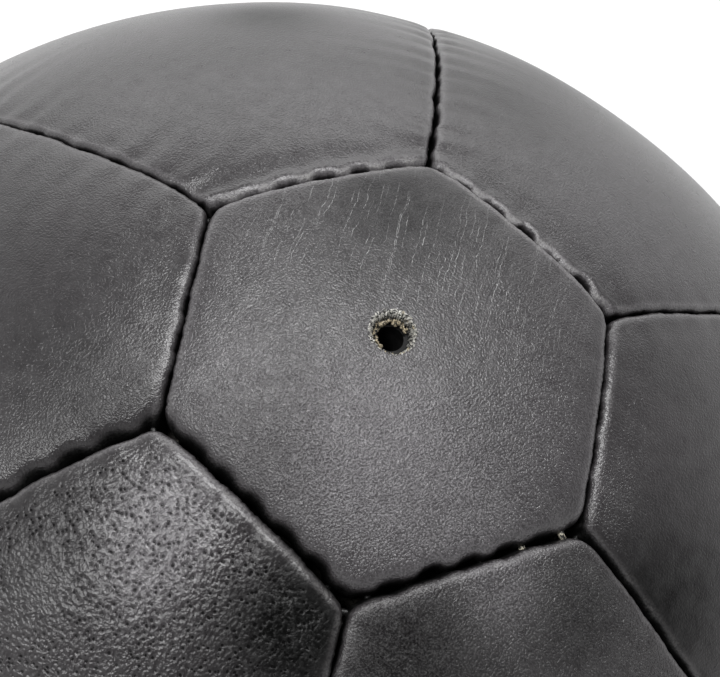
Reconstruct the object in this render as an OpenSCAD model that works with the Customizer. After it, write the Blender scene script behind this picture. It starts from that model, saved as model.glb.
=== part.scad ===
// Hand-sewn leather medicine ball: two hexagonal end panels and six long panels over a rubber bladder.
// Millimetres. The origin is the middle of the ball and +Z points out through the valve.
// Every seam lies in a plane through the middle, and the panel edges turn inwards along it.

/* [Ball] */
// outside diameter of the sewn ball
ball_d = 250; // [200:1:320]
// hexagonal end panel, straight across opposite corners
cap_corners = 80; // [60:1:110]

/* [Leather] */
// thickness of the leather
leather_t = 2.4; // [1.6:0.1:3.5]
// radius of the outside of the rolled edge along a long seam and around an end panel
edge_roll = 4; // [3.8:0.1:7]
// the same at the ends of a long panel, where the leather turns in more gently
end_roll = 4.6; // [4:0.1:8]
// how far the turned-in edge reaches below the outside of the ball
flange_depth = 9; // [8:0.1:12]
// space between the two turned-in edges of a seam
seam_gap = 0.3; // [0.1:0.05:0.8]

/* [Lining] */
// thickness of the cloth behind the leather
lining_t = 1.2; // [0.6:0.1:2]

/* [Stitching] */
// waxed thread, across its corners
thread_d = 1; // [0.6:0.1:1.4]
// distance between stitches along a seam
stitch_pitch = 6.4; // [5:0.1:9]
// depth of the thread below the outside of the ball
stitch_depth = 5; // [4.8:0.1:7]
// play of the thread in its hole, on the diameter
thread_play = 0.3; // [0.1:0.05:0.6]

/* [Filling] */
// felt between the turned-in edges and the bladder
wadding_t = 3.7; // [2:0.1:30]
// wall of the bladder
bladder_t = 12; // [4:0.5:20]

/* [Valve] */
// hole punched in the leather
hole_d = 7.3; // [5:0.1:10]
// opening of the valve mouth
mouth_d = 4.1; // [3:0.1:5]
// depth of the straight part of the mouth
mouth_depth = 2; // [1:0.1:4]
// length of the taper between the mouth and the needle bore
taper_length = 3; // [2:0.1:5]
// inflating needle
needle_d = 2; // [1.6:0.1:2.6]
// play of the needle in its bore, on the diameter
needle_play = 0.2; // [0.1:0.05:0.5]
// length of the needle bore
needle_bore_length = 13; // [8:0.5:20]
// closed end of the core below the bore
lip_length = 5; // [3:0.5:8]
// stem of the valve core
core_d = 8; // [6:0.1:10]
// head of the valve core
core_head_d = 10.6; // [8:0.1:14]
// thickness of that head
core_head_t = 3; // [2:0.1:5]
// neck of the valve seat
neck_d = 15; // [12:0.1:22]
// collar of the valve seat on the bladder
collar_d = 38; // [24:0.5:50]
// thickness of that collar
collar_t = 2.4; // [1.5:0.1:3]
// how far the seat reaches below the bladder wall
seat_reach = 3; // [1:0.5:8]

/* [Fits] */
// clearance between pieces that lie against each other
fit_gap = 0.15; // [0.05:0.05:0.3]

/* [Hidden] */
$fn = 96;
ball_r = ball_d / 2;
corner_angle = asin(cap_corners / ball_d);
edge_angle = atan(tan(corner_angle) * cos(30));
half_gap = seam_gap / 2;
overcut = leather_t;
flange_r = ball_r - flange_depth;
lining_r = ball_r - leather_t - fit_gap;
lining_inset = half_gap + max(edge_roll, end_roll) + fit_gap;
wadding_r = lining_r - lining_t - fit_gap;
wadding_core_r = flange_r - fit_gap;
bladder_r = wadding_core_r - wadding_t - fit_gap;
thread_r = thread_d / 2;
stitch_r = ball_r - stitch_depth;
stitch_side = half_gap + leather_t + thread_r + fit_gap;
stitch_hole_d = thread_d + thread_play;
wadding_inset = stitch_side + thread_d + fit_gap;
long_seam_angle = 180 - 2 * corner_angle;
long_stitches = round(stitch_r * long_seam_angle * PI / 180 / stitch_pitch);
cap_side_angle = 2 * asin(sin(corner_angle) / 2);
cap_stitches = 2 * round(stitch_r * cap_side_angle * PI / 360 / stitch_pitch);
core_top = lining_r;
core_length = mouth_depth + taper_length + needle_bore_length + lip_length;
seat_bottom = bladder_r - bladder_t - seat_reach;
needle_bore_d = needle_d + needle_play;
collar_r = bladder_r + fit_gap;

// sides of a panel: tilt and turn of the direction that points into the panel, and radius of its rolled edge
cap_sides = [for (k = [0:5]) [90 - edge_angle, 60 * k + 210, edge_roll]];
function gore_sides(k) = [
  [90, 60 * k + 90, edge_roll],
  [90, 60 * k - 30, edge_roll],
  [90 + edge_angle, 60 * k + 30, end_roll],
  [90 - edge_angle, 60 * k + 30, end_roll]
];

// stitch angles along a side, measured from its first corner
function stitch_angles(span, count) = [for (j = [0:count - 1]) span * (j + 0.5) / count];

// direction of a seam: middle of the side, way along it and way across it
function seam_point(frame, angle, radius, across) =
  radius * (cos(angle) * frame[0] + sin(angle) * frame[1]) + across * frame[2];
function long_frame(k) = [
  [cos(60 * k), sin(60 * k), 0],
  [0, 0, -1],
  [-sin(60 * k), cos(60 * k), 0]
];
function cap_frame(k) =
  let (turn = 60 * k + 30)
  [
    [sin(edge_angle) * cos(turn), sin(edge_angle) * sin(turn), cos(edge_angle)],
    [-sin(turn), cos(turn), 0],
    [cos(edge_angle) * cos(turn), cos(edge_angle) * sin(turn), -sin(edge_angle)]
  ];

// route of a thread: across the seam at one hole, along to the next hole, and back across
function zigzag(frame, angles, first) = [
  for (j = [0:len(angles) - 1])
    for (end = [0, 1])
      let (side = ((j + end + first) % 2 == 0) ? -1 : 1)
      seam_point(frame, angles[j], stitch_r, side * stitch_side)
];
long_angles = [for (a = stitch_angles(long_seam_angle, long_stitches)) a - long_seam_angle / 2];
cap_angles = [for (a = stitch_angles(cap_side_angle, cap_stitches)) a - cap_side_angle / 2];
cap_route = [for (k = [0:5]) for (p = zigzag(cap_frame(k), cap_angles, 0)) p];

function unit(v) = v / norm(v);
function ring(before, here, after) =
  let (
    up = unit(here),
    came = unit(cross(up, here - before)),
    goes = unit(cross(up, after - here)),
    bend = came + goes,
    out = 2 * bend / (bend * bend)
  )
  [for (s = [0:5]) here + thread_r * (cos(60 * s) * out + sin(60 * s) * up)];

// six-sided thread along a route
module thread_along(route) {
  last = len(route) - 1;
  rings = [
    for (i = [0:last])
      ring(
        i == 0 ? 2 * route[0] - route[1] : route[i - 1],
        route[i],
        i == last ? 2 * route[last] - route[last - 1] : route[i + 1]
      )
  ];
  walls = [
    for (i = [0:last - 1])
      for (s = [0:5])
        let (a = 6 * i + s, b = 6 * i + (s + 1) % 6)
        each [[a, a + 6, b], [b, a + 6, b + 6]]
  ];
  start_end = [for (s = [0:5]) s];
  far_end = [for (s = [5:-1:0]) 6 * last + s];
  polyhedron(points = [for (r = rings) each r], faces = concat([start_end], walls, [far_end]), convexity = 10);
}

// half space beyond a side of a panel
module half_space(inset) {
  translate([-ball_d, -ball_d, inset])
    cube([2 * ball_d, 2 * ball_d, 2 * ball_d]);
}

// half space with the rolled rim of a panel edge, for its outside or, one thickness in, its inside
module rolled_half(turn_in, roll) {
  lead = roll / 40;
  ring_r = ball_r - roll + lead;
  rotate_extrude()
    difference() {
      translate([0, half_gap + turn_in])
        square([ball_d, ball_d]);
      difference() {
        translate([ring_r, half_gap - roll])
          square([ball_d, 2 * roll]);
        translate([ring_r, half_gap + roll - lead])
          circle(r = roll - turn_in);
      }
    }
}

// space of a panel with flat sides, set back from its seams
module cell(sides, inset) {
  intersection_for(s = sides)
    rotate([0, s[0], s[1]])
      half_space(inset);
}

// rounded form of a panel, one side after the other
module pillow(sides, turn_in, done = 0) {
  if (done == len(sides))
    sphere(r = ball_r - turn_in);
  else
    intersection() {
      pillow(sides, turn_in, done + 1);
      rotate([0, sides[done][0], sides[done][1]])
        rolled_half(turn_in, sides[done][2]);
    }
}

// leather panel: an open tray whose edges are turned inwards for sewing
module leather_tray(sides) {
  difference() {
    pillow(sides, 0);
    pillow(sides, leather_t);
    sphere(r = flange_r);
  }
}

// holes of one seam, through both of its turned-in edges
module stitch_holes(tilt, turn, frame, angles) {
  for (a = angles)
    translate(seam_point(frame, a, stitch_r, 0))
      rotate([0, tilt, turn])
        cylinder(d = stitch_hole_d, h = 2 * stitch_side, center = true);
}
module cap_holes(k) {
  stitch_holes(90 + edge_angle, 60 * k + 30, cap_frame(k), cap_angles);
}
module long_holes(k) {
  stitch_holes(90, 60 * k + 90, long_frame(k), long_angles);
}

module plain_cap_up() {
  difference() {
    leather_tray(cap_sides);
    for (k = [0:5])
      cap_holes(k);
  }
}

module valve_cap() {
  color([0.14, 0.14, 0.15])
    difference() {
      plain_cap_up();
      cylinder(d = hole_d, h = ball_d);
    }
}

module plain_cap() {
  color([0.14, 0.14, 0.15])
    mirror([0, 0, 1])
      plain_cap_up();
}

module gore(k) {
  color([0.14, 0.14, 0.15])
    difference() {
      leather_tray(gore_sides(k));
      long_holes(k);
      long_holes(k + 1);
      cap_holes(k);
      mirror([0, 0, 1])
        cap_holes(k);
    }
}

// cloth behind a panel, inside its turned-in edges
module cloth(sides) {
  intersection() {
    difference() {
      sphere(r = lining_r);
      sphere(r = lining_r - lining_t);
    }
    cell(sides, lining_inset);
  }
}

module valve_cap_lining() {
  color([0.72, 0.66, 0.55])
    difference() {
      cloth(cap_sides);
      cylinder(d = neck_d + 2 * fit_gap, h = ball_d);
    }
}

module plain_cap_lining() {
  color([0.72, 0.66, 0.55])
    mirror([0, 0, 1])
      cloth(cap_sides);
}

module gore_lining(k) {
  color([0.72, 0.66, 0.55])
    cloth(gore_sides(k));
}

module valve_cap_thread() {
  color([0.05, 0.05, 0.05])
    thread_along(cap_route);
}

module plain_cap_thread() {
  color([0.05, 0.05, 0.05])
    mirror([0, 0, 1])
      thread_along(cap_route);
}

module gore_thread(k) {
  color([0.05, 0.05, 0.05])
    thread_along(zigzag(long_frame(k), long_angles, 0));
}

// felt half shell with channels for the turned-in edges
module wadding_half() {
  difference() {
    union() {
      sphere(r = wadding_core_r);
      intersection() {
        sphere(r = wadding_r);
        union() {
          cell(cap_sides, wadding_inset);
          for (k = [0:5])
            cell(gore_sides(k), wadding_inset);
        }
      }
    }
    sphere(r = bladder_r + fit_gap);
    translate([-ball_d, -ball_d, -2 * ball_d + half_gap])
      cube([2 * ball_d, 2 * ball_d, 2 * ball_d]);
  }
}

module upper_wadding() {
  color([0.5, 0.47, 0.42])
    difference() {
      wadding_half();
      cylinder(d = neck_d + 2 * fit_gap, h = ball_d);
      intersection() {
        sphere(r = collar_r + collar_t + fit_gap);
        cylinder(d = collar_d + 2 * fit_gap, h = ball_d);
      }
    }
}

module lower_wadding() {
  color([0.5, 0.47, 0.42])
    mirror([0, 0, 1])
      wadding_half();
}

module bladder() {
  color([0.2, 0.18, 0.17])
    difference() {
      sphere(r = bladder_r);
      sphere(r = bladder_r - bladder_t);
      cylinder(d = neck_d + 2 * fit_gap, h = ball_d);
    }
}

module valve_seat() {
  color([0.12, 0.12, 0.13])
    difference() {
      union() {
        translate([0, 0, seat_bottom])
          cylinder(d = neck_d, h = core_top - seat_bottom);
        intersection() {
          difference() {
            sphere(r = collar_r + collar_t);
            sphere(r = collar_r);
          }
          cylinder(d = collar_d, h = ball_d);
        }
      }
      translate([0, 0, seat_bottom - overcut])
        cylinder(d = core_d + 2 * fit_gap, h = ball_d);
      translate([0, 0, core_top - core_head_t - fit_gap])
        cylinder(d = core_head_d + 2 * fit_gap, h = ball_d);
    }
}

module valve_core() {
  color([0.06, 0.06, 0.06])
    translate([0, 0, core_top])
      difference() {
        union() {
          translate([0, 0, -core_length])
            cylinder(d = core_d, h = core_length);
          translate([0, 0, -core_head_t])
            cylinder(d = core_head_d, h = core_head_t);
        }
        translate([0, 0, -mouth_depth])
          cylinder(d = mouth_d, h = mouth_depth + overcut);
        translate([0, 0, -mouth_depth - taper_length])
          cylinder(d1 = needle_bore_d, d2 = mouth_d, h = taper_length);
        translate([0, 0, lip_length - core_length])
          cylinder(d = needle_bore_d, h = needle_bore_length + taper_length / 2);
      }
}

valve_cap();
plain_cap();
gore(0);  // gore_1
gore(1);  // gore_2
gore(2);  // gore_3
gore(3);  // gore_4
gore(4);  // gore_5
gore(5);  // gore_6
valve_cap_lining();
plain_cap_lining();
gore_lining(0);  // gore_lining_1
gore_lining(1);  // gore_lining_2
gore_lining(2);  // gore_lining_3
gore_lining(3);  // gore_lining_4
gore_lining(4);  // gore_lining_5
gore_lining(5);  // gore_lining_6
valve_cap_thread();
plain_cap_thread();
gore_thread(0);  // gore_thread_1
gore_thread(1);  // gore_thread_2
gore_thread(2);  // gore_thread_3
gore_thread(3);  // gore_thread_4
gore_thread(4);  // gore_thread_5
gore_thread(5);  // gore_thread_6
upper_wadding();
lower_wadding();
bladder();
valve_seat();
valve_core();
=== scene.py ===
"""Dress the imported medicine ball: sewn leather panels, waxed thread, rubber valve and a plain studio."""

import logging
import math
from dataclasses import dataclass, field
from enum import Enum

import bmesh
import bpy
import numpy as np
from mathutils import Matrix, Vector


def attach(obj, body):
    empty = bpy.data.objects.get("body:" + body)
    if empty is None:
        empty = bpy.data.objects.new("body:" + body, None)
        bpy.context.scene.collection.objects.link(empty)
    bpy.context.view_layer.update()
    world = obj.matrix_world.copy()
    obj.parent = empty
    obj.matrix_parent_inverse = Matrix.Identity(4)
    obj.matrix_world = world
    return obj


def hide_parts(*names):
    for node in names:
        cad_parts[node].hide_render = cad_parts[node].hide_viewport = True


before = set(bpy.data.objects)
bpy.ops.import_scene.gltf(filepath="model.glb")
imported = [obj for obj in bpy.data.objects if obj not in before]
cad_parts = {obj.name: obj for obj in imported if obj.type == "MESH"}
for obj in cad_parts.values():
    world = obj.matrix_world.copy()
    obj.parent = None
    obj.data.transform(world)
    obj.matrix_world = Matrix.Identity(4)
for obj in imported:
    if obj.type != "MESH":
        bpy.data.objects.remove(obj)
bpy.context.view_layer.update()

MM = 0.001
BODY = "root"
SIXTH = math.pi / 3
WHITE = (1, 1, 1, 1)
WAX = (0.012, 0.011, 0.010, 1)
PHASES = (0, 6.28)  # range of a wave's random start, in radians
log = logging.getLogger("medicine_ball")

Array = np.ndarray
Pair = tuple[float, float]
Triple = tuple[float, float, float]
Colour = tuple[float, float, float, float]
Object = bpy.types.Object
Material = bpy.types.Material
Mesh = bpy.types.Mesh


# Sizes, smooth functions and mesh helpers


@dataclass(frozen=True)
class BallSizes:
    """Sizes of the sewn ball in millimetres."""

    radius: float = 125.0
    cap_corners: float = 80.0
    roll: float = 4.0
    flange_depth: float = 8.0
    thread: float = 1.0
    thread_depth: float = 5.0
    thread_side: float = 3.2
    long_stitches: int = 47
    cap_stitches: int = 6
    hole_radius: float = 3.65

    @property
    def corner_angle(self) -> float:
        """Polar angle of the corners of an end panel, in radians."""
        return math.asin(self.cap_corners / (2 * self.radius))

    @property
    def edge_angle(self) -> float:
        """Polar angle of the middle of an end panel's side, in radians."""
        return math.atan(math.tan(self.corner_angle) * math.cos(math.radians(30)))


SIZES = BallSizes()


def direction(polar: Array | float, azimuth: Array | float) -> Array:
    """Unit vectors from the middle of the ball, by the angles from and around the valve axis, in radians."""
    polar, azimuth = np.broadcast_arrays(polar, azimuth)
    return np.stack([np.sin(polar) * np.cos(azimuth), np.sin(polar) * np.sin(azimuth), np.cos(polar)], -1)


def smooth(low: float, high: float, value: Array) -> Array:
    """Smooth step from 0 at low to 1 at high."""
    t = np.clip((value - low) / (high - low), 0.0, 1.0)
    return t * t * (3.0 - 2.0 * t)


def bell(value: Array, width: float) -> Array:
    """A bell curve: 1 at nought, fading within the width."""
    return np.exp(-((value / width) ** 2))


def one_long(rows: Array) -> Array:
    """Vectors, one row each, made one long."""
    return rows / np.linalg.norm(rows, axis=1)[:, None]


def only(made: dict[str, list], kind: type) -> list:
    """The parts of one kind in what a mesh operator made."""
    return [part for part in made["geom"] if isinstance(part, kind)]


def shade_smooth(mesh: Mesh) -> None:
    """Shade every face of a mesh smoothly."""
    mesh.polygons.foreach_set("use_smooth", np.ones(len(mesh.polygons), bool))


def to_mesh(bm: bmesh.types.BMesh, name: str) -> Mesh:
    """Turn an edit mesh into a new mesh.

    Args:
        bm: the edit mesh, which is freed.
        name: the new mesh's name.

    Returns:
        The mesh.
    """
    mesh = bpy.data.meshes.new(name)
    bm.to_mesh(mesh)
    bm.free()
    return mesh


def places(mesh: Mesh) -> Array:
    """Read where a mesh's vertices are.

    Args:
        mesh: the mesh.

    Returns:
        Their coordinates, one row each.
    """
    flat = np.empty(len(mesh.vertices) * 3, np.float32)
    mesh.vertices.foreach_get("co", flat)
    return flat.reshape(-1, 3)


def move_to(mesh: Mesh, points: Array) -> None:
    """Move a mesh's vertices to points in millimetres."""
    mesh.vertices.foreach_set("co", (points * MM).astype(np.float32).ravel())


def store(mesh: Mesh, name: str, values: Array) -> None:
    """Store a number for each vertex, for a finish to read."""
    mesh.attributes.new(name, "FLOAT", "POINT").data.foreach_set("value", values.astype(np.float32))


def put(name: str, data: bpy.types.ID) -> Object:
    """Put a new object into the scene.

    Args:
        name: the object's name.
        data: its mesh, lamp or camera.

    Returns:
        The object.
    """
    thing = bpy.data.objects.new(name, data)
    bpy.context.scene.collection.objects.link(thing)
    return thing


def declare(mesh: Mesh, node: str | None = None) -> Object:
    """Make a finished mesh a piece of the ball, under the mesh's name.

    Args:
        mesh: the mesh.
        node: the solid that the piece replaces, if it does.

    Returns:
        The piece's object.
    """
    piece = put(mesh.name, mesh)
    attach(piece, BODY)
    if node:
        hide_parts(node)
    return piece


@dataclass(frozen=True)
class Waves:
    """Seeded smooth waves, about -1 to 1, of the given lengths in millimetres."""

    seed: int
    lengths: tuple[float, ...]

    STRENGTHS = (0.6, 1.0)
    WAYS = 3

    def along(self, place: Array) -> Array:
        """Waves along a line.

        Args:
            place: millimetres along the line.

        Returns:
            The height of the waves at each place.
        """
        rng = np.random.default_rng(self.seed)
        total = np.zeros_like(place)
        for length in self.lengths:
            total += rng.uniform(*self.STRENGTHS) * np.sin(2 * np.pi * place / length + rng.uniform(*PHASES))
        return total / math.sqrt(len(self.lengths))

    def through(self, points: Array) -> Array:
        """Waves through space.

        Args:
            points: places in millimetres, one row each.

        Returns:
            The height of the waves at each point.
        """
        rng = np.random.default_rng(self.seed)
        total = np.zeros(len(points))
        for length in self.lengths:
            for _ in range(self.WAYS):
                way = rng.normal(size=3)
                way /= np.linalg.norm(way)
                total += np.sin(points @ way * (2 * np.pi / length) + rng.uniform(*PHASES))
        return total / math.sqrt(self.WAYS * len(self.lengths))


@dataclass(frozen=True)
class HandCut:
    """How far the hand-cut corners around the valve sit off the regular pattern.

    The six values are for the corners at 0, 60, 120, 180, 240 and 300 degrees, in millimetres away from
    the valve and around it, and around it further along the long seams. Between the corners they run on
    smoothly, and they fade out at the valve and towards the middle of the ball, by degrees from the valve.
    """

    away: tuple[float, ...] = (-5.4, -4.0, -0.4, -0.4, -2.4, -5.3)
    around: tuple[float, ...] = (0.9, 2.5, 1.8, -0.9, -3.1, -1.6)
    further: tuple[float, ...] = (2.2, 2.8, 0.3, -1.0, 0.0, 0.2)
    full_from: float = 16.0
    fade_from: float = 34.0
    fade_to: float = 85.0
    further_from: float = 17.0
    further_full: float = 38.0
    further_fade: float = 42.0

    @staticmethod
    def between(values: tuple[float, ...], azimuth: Array) -> Array:
        """Smooth values between six corners.

        Args:
            values: one value for each corner.
            azimuth: angles around the valve axis, in radians.

        Returns:
            A value for each angle, as a column.
        """
        terms = np.fft.rfft(np.array(values)) / 6.0
        total = np.full_like(azimuth, terms[0].real)
        for k in (1, 2):
            total += 2 * (terms[k].real * np.cos(k * azimuth) - terms[k].imag * np.sin(k * azimuth))
        return (total + terms[3].real * np.cos(3 * azimuth))[:, None]

    def apply(self, points: Array) -> Array:
        """Move points with the pattern, at the same distance from the middle of the ball.

        Args:
            points: places in millimetres, one row each.

        Returns:
            The moved points.
        """
        radius = np.linalg.norm(points, axis=1)
        polar = np.arccos(np.clip(points[:, 2] / radius, -1, 1))
        azimuth = np.arctan2(points[:, 1], points[:, 0])
        degrees = np.degrees(polar)
        share = smooth(0.0, self.full_from, degrees) * (1 - smooth(self.fade_from, self.fade_to, degrees))
        beyond = smooth(self.further_from, self.further_full, degrees)
        beyond *= 1 - smooth(self.further_fade, self.fade_to, degrees)
        south = direction(polar + np.pi / 2, azimuth)
        east = np.stack([-np.sin(azimuth), np.cos(azimuth), np.zeros_like(azimuth)], 1)
        moved = points + share[:, None] * (
            self.between(self.away, azimuth) * south + self.between(self.around, azimuth) * east
        )
        moved += beyond[:, None] * self.between(self.further, azimuth) * east
        return moved * (radius / np.linalg.norm(moved, axis=1))[:, None]


# Seams


@dataclass(frozen=True)
class EdgeLook:
    """One edge of a seam.

    Its roll, its dip and how far that reaches are in millimetres, like its lip. The others are shares: of the
    seam's opening, of wear, which also sets a painted highlight along the edge's ridge, and of the scallops
    between stitches.
    """

    roll: float
    dip: float
    reach: float
    share: float
    worn: float
    lip: float = 0.0
    scallop: float = 0.0


@dataclass(frozen=True)
class SeamLook:
    """How a sewn seam pulls the leather, in millimetres, on the normal's side and on the other one."""

    gap: float
    opening: float
    dimple: float
    pucker: float
    pucker_reach: float
    wander: float
    inner: EdgeLook
    outer: EdgeLook


class SeamKind(Enum):
    """The kinds of seam on the ball."""

    TIGHT = SeamLook(
        0.06, 0.32, 0.18, 0.03, 4.0, 0.14,
        EdgeLook(1.0, 0.45, 3.5, 0.5, 0.2), EdgeLook(0.9, 0.5, 4.0, 0.6, 0.25, 0.06),
    )
    SLIT = SeamLook(
        0.02, 1.25, 0.22, 0.07, 5.0, 0.10,
        EdgeLook(0.6, 0.15, 3.0, 0.12, 0.7), EdgeLook(0.8, 0.65, 3.5, 0.9, 0.8, 0.12),
    )
    WORN = SeamLook(
        0.03, 0.95, 0.25, 0.07, 5.0, 0.14,
        EdgeLook(0.6, 0.2, 3.0, 0.25, 0.6), EdgeLook(0.9, 0.75, 4.0, 0.7, 0.9, 0.22),
    )
    CREASED = SeamLook(
        0.10, 0.80, 0.45, 0.07, 5.0, 0.16,
        EdgeLook(3.2, 1.0, 5.5, 0.9, 0.1, 0.0, 0.16), EdgeLook(1.0, 0.5, 4.0, 0.15, 0.5, 0.26),
    )
    GAPING = SeamLook(
        0.12, 0.85, 0.40, 0.07, 5.0, 0.14,
        EdgeLook(2.8, 0.8, 5.0, 0.8, 0.1, 0.0, 0.25), EdgeLook(0.9, 0.5, 4.0, 0.25, 0.35, 0.10),
    )
    PUCKERED = SeamLook(
        0.08, 0.45, 0.30, 0.20, 7.0, 0.18,
        EdgeLook(0.9, 0.4, 4.0, 0.4, 0.2), EdgeLook(1.0, 0.5, 5.0, 0.6, 0.25),
    )
    DEEP = SeamLook(
        0.12, 1.05, 0.55, 0.08, 5.0, 0.18,
        EdgeLook(1.0, 0.4, 4.0, 0.15, 0.35), EdgeLook(3.4, 1.2, 6.0, 0.9, 0.1, 0.0, 0.35),
    )
    WIDE = SeamLook(
        0.34, 0.32, 0.22, 0.05, 4.0, 0.16,
        EdgeLook(2.0, 0.6, 5.0, 0.6, 0.2), EdgeLook(0.8, 0.3, 3.5, 0.4, 0.2),
    )
    DIMPLED = SeamLook(
        0.14, 0.55, 0.50, 0.16, 6.0, 0.16,
        EdgeLook(0.9, 0.5, 4.0, 0.5, 0.2), EdgeLook(0.9, 0.5, 4.0, 0.5, 0.2),
    )


@dataclass
class Seam:
    """A sewn seam along a great circle, with its stitches."""

    normal: Array
    middle: Array
    half_length: float
    stitches: int
    seed: int
    kind: SeamKind
    along: Array = field(init=False)
    pitch: float = field(init=False)
    places: Array = field(init=False)
    pull: Array = field(init=False)
    slack: Array = field(init=False)

    JITTER = (-0.45, 0.45)
    PULLS = (0.6, 1.2)
    SLACKS = (0.35, 1.35)
    STITCH_HOLD = 1.6
    FRAY, FRAY_SEED = 0.08, 20
    FRAY_LENGTHS = (0.9, 1.4, 2.3, 3.7)
    OPEN_FROM_END = 2.5
    WANDER_LENGTHS, WANDER_SEED = (23.0, 47.0), 7
    QUICK_LENGTH, QUICK_SHARE, QUICK_SEED = 9.0, 0.8, 8
    WANDER_FROM_END = 5.0

    def __post_init__(self) -> None:
        """Set out the stitches."""
        rng = np.random.default_rng(self.seed)
        self.along = np.cross(self.normal, self.middle)
        self.pitch = 2 * self.half_length / self.stitches
        self.places = (np.arange(self.stitches) + 0.5) * self.pitch - self.half_length
        self.places += rng.uniform(*self.JITTER, self.stitches)
        self.pull = rng.uniform(*self.PULLS, self.stitches)
        self.slack = rng.uniform(*self.SLACKS, self.stitches + 1)

    @property
    def look(self) -> SeamLook:
        """The sizes of this kind of seam."""
        return self.kind.value

    def edge(self, sign: int) -> EdgeLook:
        """The look of the edge towards the normal, or of the other one."""
        return self.look.inner if sign > 0 else self.look.outer

    def locate(self, unit: Array) -> tuple[Array, Array]:
        """Find how far unit vectors lie along the seam and across it towards its normal, in millimetres."""
        s = SIZES.radius * np.arctan2(unit @ self.along, unit @ self.middle)
        return s, SIZES.radius * np.arcsin(np.clip(unit @ self.normal, -1, 1))

    def nearest(self, s: Array) -> tuple[Array, Array]:
        """Find the nearest stitch.

        Args:
            s: millimetres along the seam from its middle.

        Returns:
            The distance to the nearest stitch, with its sign, and that stitch's number.
        """
        number = np.rint((s + self.half_length) / self.pitch - 0.5).astype(int)
        number = np.clip(number, 0, self.stitches - 1)
        return s - self.places[number], number

    def pinch(self, s: Array, width: float) -> Array:
        """How hard the stitches pull along the seam: about 1 at a stitch, fading within the width."""
        off, number = self.nearest(s)
        return self.pull[number] * bell(off, width)

    def ends(self, s: Array, reach: float) -> Array:
        """Fade to 0 at both ends of the seam, where three panels meet, within the reach."""
        return smooth(0.0, reach, self.half_length - np.abs(s))

    def opening(self, s: Array, sign: int) -> Array:
        """The space at one edge, closed at the stitches and open between them.

        Args:
            s: millimetres along the seam from its middle.
            sign: 1 for the edge towards the normal, -1 for the other.

        Returns:
            Millimetres from the middle of the seam to the edge.
        """
        off, number = self.nearest(s)
        slack = self.slack[np.where(off > 0, number + 1, number)]
        held = np.exp(-((off / self.STITCH_HOLD) ** 4))
        lens = self.edge(sign).share * self.look.opening * slack * (1 - held)
        fray = self.FRAY * Waves(self.seed + self.FRAY_SEED + sign, self.FRAY_LENGTHS).along(s)
        return self.look.gap + (lens + fray) * self.ends(s, self.OPEN_FROM_END)

    def wander(self, s: Array) -> Array:
        """How far the seam strays sideways.

        Args:
            s: millimetres along the seam from its middle.

        Returns:
            Millimetres towards the seam's normal.
        """
        slow = Waves(self.seed + self.WANDER_SEED, self.WANDER_LENGTHS).along(s)
        quick = Waves(self.seed + self.QUICK_SEED, (2 * self.pitch, self.QUICK_LENGTH)).along(s)
        return self.look.wander * (slow + self.QUICK_SHARE * quick) * self.ends(s, self.WANDER_FROM_END)

    def point(self, s: Array, across: Array, depth: Array) -> Array:
        """Places in and under the seam.

        Args:
            s: millimetres along the seam from its middle.
            across: millimetres towards the seam's normal.
            depth: millimetres below the outside of the ball.

        Returns:
            Points in millimetres, one row each.
        """
        turn = s / SIZES.radius
        out = np.cos(turn)[:, None] * self.middle + np.sin(turn)[:, None] * self.along
        return out * (SIZES.radius - depth)[:, None] + self.normal * (across + self.wander(s))[:, None]


@dataclass
class SeamPattern:
    """All seams of the ball: six around each end panel and six along the sides."""

    valve: list[Seam] = field(default_factory=list)
    plain: list[Seam] = field(default_factory=list)
    long: list[Seam] = field(default_factory=list)

    VALVE_KINDS = (
        SeamKind.TIGHT, SeamKind.CREASED, SeamKind.GAPING, SeamKind.TIGHT, SeamKind.SLIT, SeamKind.WORN,
    )
    LONG_KINDS = (
        SeamKind.PUCKERED, SeamKind.DEEP, SeamKind.TIGHT, SeamKind.WIDE, SeamKind.TIGHT, SeamKind.DIMPLED,
    )
    VALVE_SEED, PLAIN_SEED, LONG_SEED = 11, 31, 51

    def __post_init__(self) -> None:
        """Lay out every seam from the ball's sizes."""
        corner, stitches = SIZES.corner_angle, SIZES.cap_stitches
        side_half = SIZES.radius * math.asin(math.sin(corner) / 2)
        long_half = SIZES.radius * (math.pi / 2 - corner)
        flip = np.array([1.0, 1.0, -1.0])
        for k in range(6):
            turn = math.radians(60 * k)
            inward = np.cross(direction(corner, turn), direction(corner, turn + SIXTH))
            inward = inward / np.linalg.norm(inward)
            middle = direction(SIZES.edge_angle, turn + SIXTH / 2)
            sideways, outward = np.array([-math.sin(turn), math.cos(turn), 0.0]), direction(math.pi / 2, turn)
            kind, other = self.VALVE_KINDS[k], self.VALVE_KINDS[(k + 2) % 6]
            self.valve.append(Seam(inward, middle, side_half, stitches, self.VALVE_SEED + k, kind))
            self.plain.append(
                Seam(inward * flip, middle * flip, side_half, stitches, self.PLAIN_SEED + k, other)
            )
            count, seed = SIZES.long_stitches, self.LONG_SEED + k
            self.long.append(Seam(sideways, outward, long_half, count, seed, self.LONG_KINDS[k]))

    def every(self) -> list[Seam]:
        """All the seams in one list."""
        return self.valve + self.plain + self.long


# Node trees


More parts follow.
